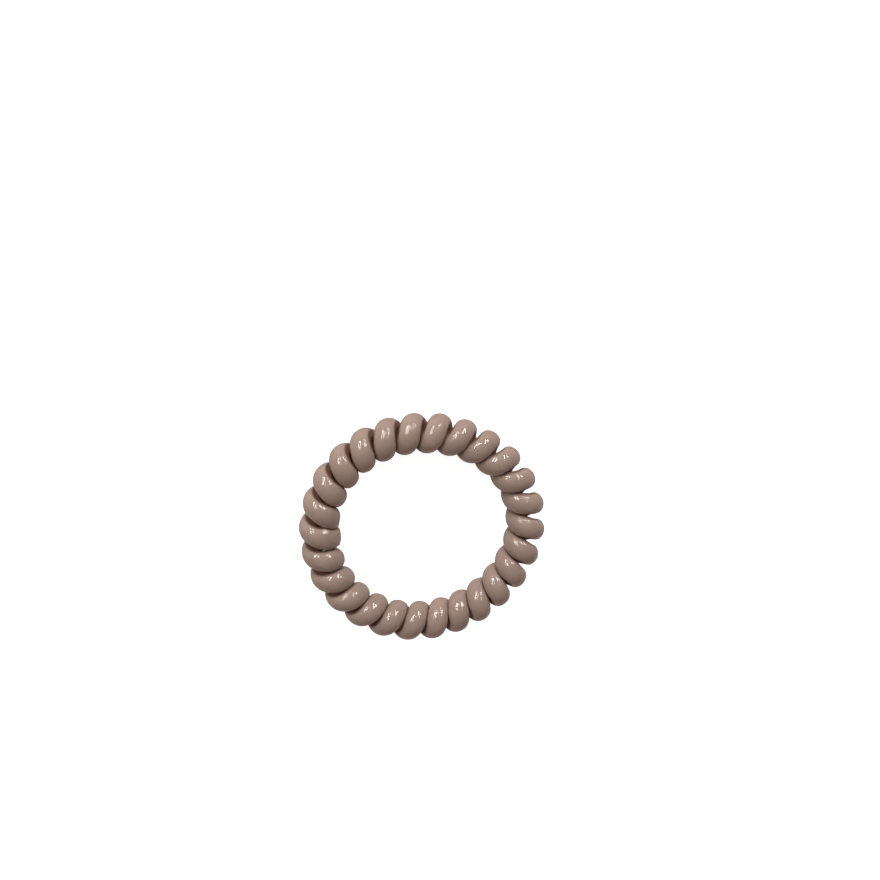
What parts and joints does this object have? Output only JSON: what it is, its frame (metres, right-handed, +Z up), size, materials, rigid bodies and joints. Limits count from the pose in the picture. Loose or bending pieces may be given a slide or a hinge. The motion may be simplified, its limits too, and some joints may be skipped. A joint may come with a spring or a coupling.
{
  "type": "spiral hair tie",
  "caption": "Ring-shaped spiral hair tie: one glossy plastic cord wound into a tight coil, with the coil closed into a ring.",
  "frame": {"origin": "centre of the ring, on the surface that it lies on", "axes": "+Z up along the ring's own axis, with the ring lying flat; +X towards the outermost point of one turn of the coil"},
  "size_m": [0.0552, 0.0543, 0.0089],
  "materials": {
    "cord": "smooth, glossy, opaque elastic plastic in a greyish pink brown"
  },
  "bodies": {
    "root": {"coil": "cord"}
  },
  "joints": []
}
